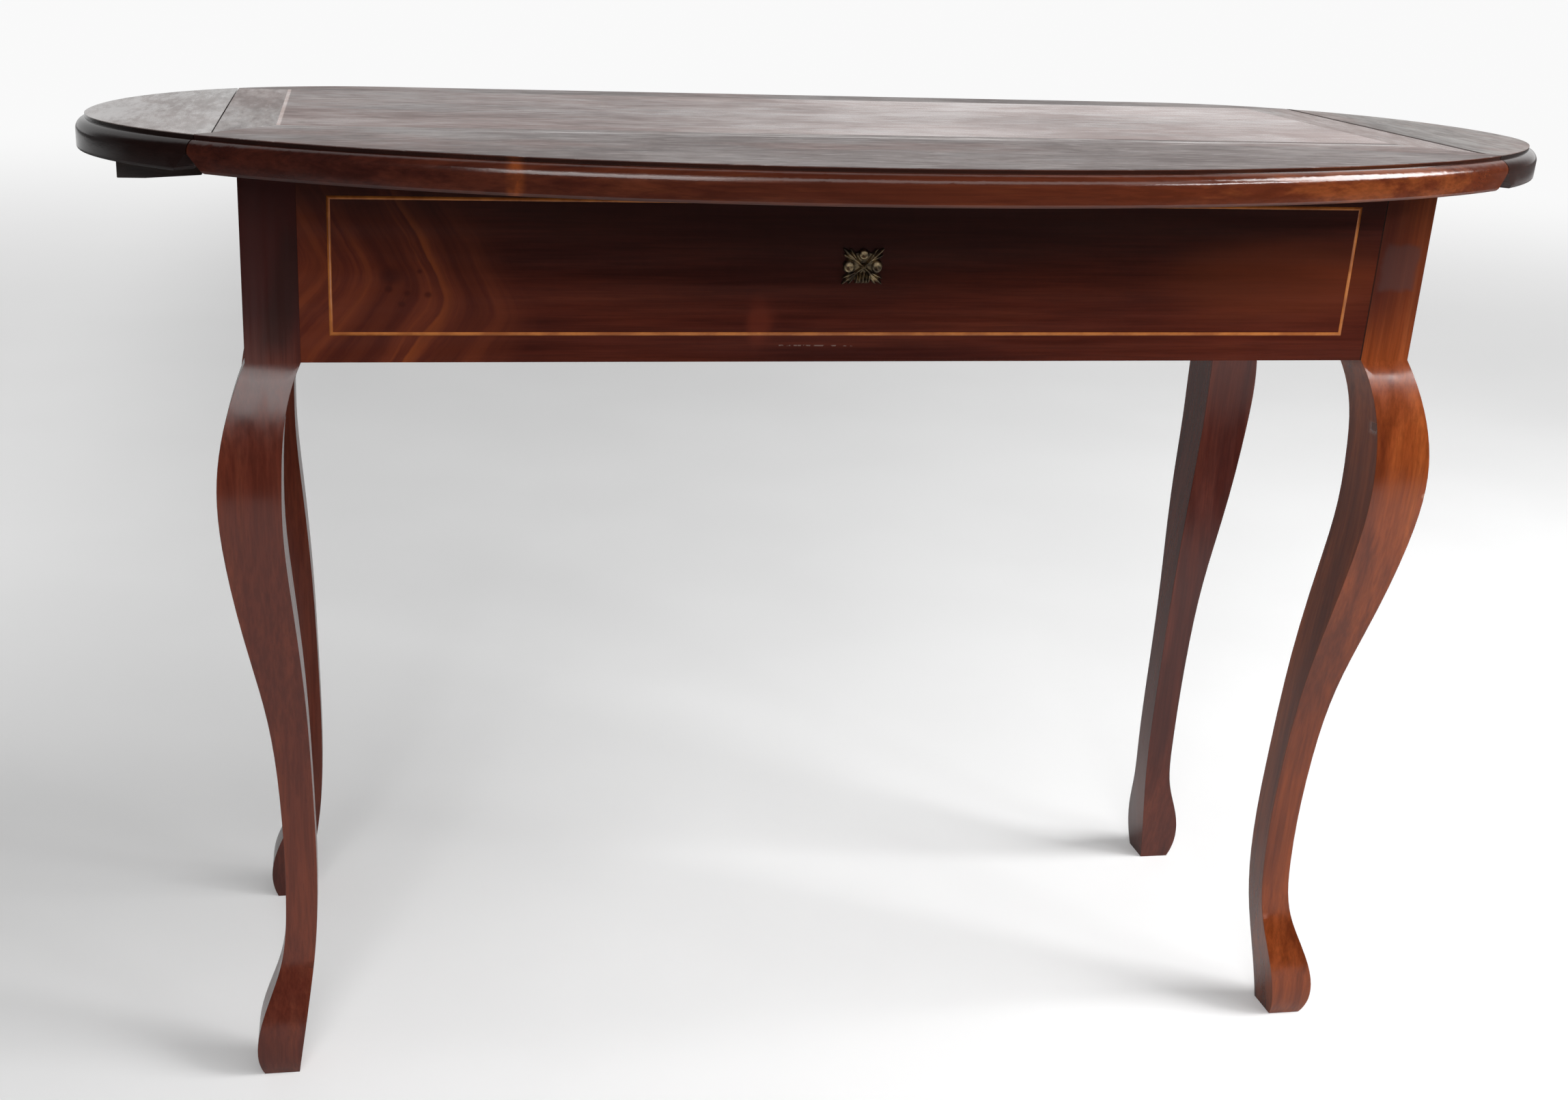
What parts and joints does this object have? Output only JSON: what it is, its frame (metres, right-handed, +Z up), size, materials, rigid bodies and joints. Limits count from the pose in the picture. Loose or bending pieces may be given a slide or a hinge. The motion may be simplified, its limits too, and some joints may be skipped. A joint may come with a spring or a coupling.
{
  "type": "drop-leaf console table",
  "caption": "Console table with a bow-fronted oval top, a hinged drop leaf at each end, sliding lopers, an inlaid frieze with a cast mount, and square cabriole legs.",
  "frame": {"origin": "on the floor, under the middle of the top's box", "axes": "+X along the table to the right as seen from the front, +Y to the back, +Z up"},
  "size_m": [1.148, 0.479, 0.77],
  "materials": {
    "carcase_mahogany": "satin varnish",
    "edge_mahogany": "satin varnish",
    "worn_top_mahogany": "worn matt",
    "worn_leaf_mahogany": "worn matt",
    "pale_rail_mahogany": "worn matt",
    "secondary_wood": "bare",
    "satinwood": "satin varnish",
    "antique_brass": "darkened",
    "hinge_brass": "aged",
    "steel_screws": "dull"
  },
  "bodies": {
    "base": {"leg_front_left": "carcase_mahogany", "leg_front_right": "carcase_mahogany", "leg_back_left": "carcase_mahogany", "leg_back_right": "carcase_mahogany", "apron_front": "carcase_mahogany", "apron_back": "carcase_mahogany", "apron_left": "carcase_mahogany", "apron_right": "carcase_mahogany", "stringing": "satinwood", "rosette": "antique_brass", "rosette_pins": "steel_screws", "corner_blocks": "secondary_wood", "corner_block_screws": "steel_screws", "top_panel": "worn_top_mahogany", "top_cross_rail_left": "pale_rail_mahogany", "top_cross_rail_right": "pale_rail_mahogany", "top_front_rail": "edge_mahogany", "top_back_rail": "edge_mahogany", "top_buttons": "secondary_wood", "top_button_screws": "steel_screws", "loper_keepers": "secondary_wood", "loper_keeper_screws": "steel_screws", "hinge_plates_fixed_left": "hinge_brass", "hinge_plates_fixed_right": "hinge_brass", "hinge_screws_fixed_left": "steel_screws", "hinge_screws_fixed_right": "steel_screws", "hinge_pins_left": "hinge_brass", "hinge_pins_right": "hinge_brass"},
    "drop_leaf_left": {"leaf_left": "worn_leaf_mahogany", "leaf_bearers_left": "secondary_wood", "leaf_bearer_screws_left": "steel_screws", "hinge_plates_leaf_left": "hinge_brass", "hinge_screws_leaf_left": "steel_screws"},
    "slide_front_left": {"loper_front_left": "secondary_wood", "loper_peg_front_left": "secondary_wood"},
    "slide_back_left": {"loper_back_left": "secondary_wood", "loper_peg_back_left": "secondary_wood"},
    "drop_leaf_right": {"leaf_right": "worn_leaf_mahogany", "leaf_bearers_right": "secondary_wood", "leaf_bearer_screws_right": "steel_screws", "hinge_plates_leaf_right": "hinge_brass", "hinge_screws_leaf_right": "steel_screws"},
    "slide_front_right": {"loper_front_right": "secondary_wood", "loper_peg_front_right": "secondary_wood"},
    "slide_back_right": {"loper_back_right": "secondary_wood", "loper_peg_back_right": "secondary_wood"}
  },
  "joints": [
    {"name": "leaf_hinge_left", "type": "hinge", "parent": "base", "child": "drop_leaf_left", "pos_m": [-0.468, 0.0445, 0.7575], "axis": [0, -1, 0], "range_deg": [0, 90]},
    {"name": "leaf_hinge_right", "type": "hinge", "parent": "base", "child": "drop_leaf_right", "pos_m": [0.468, 0.0445, 0.7575], "axis": [0, 1, 0], "range_deg": [0, 90]},
    {"name": "loper_slide_front_left", "type": "slide", "parent": "base", "child": "slide_front_left", "axis": [1, 0, 0], "range_m": [-0.09, 0]},
    {"name": "loper_slide_back_left", "type": "slide", "parent": "base", "child": "slide_back_left", "axis": [1, 0, 0], "range_m": [-0.09, 0]},
    {"name": "loper_slide_front_right", "type": "slide", "parent": "base", "child": "slide_front_right", "axis": [-1, 0, 0], "range_m": [-0.09, 0]},
    {"name": "loper_slide_back_right", "type": "slide", "parent": "base", "child": "slide_back_right", "axis": [-1, 0, 0], "range_m": [-0.09, 0]}
  ]
}
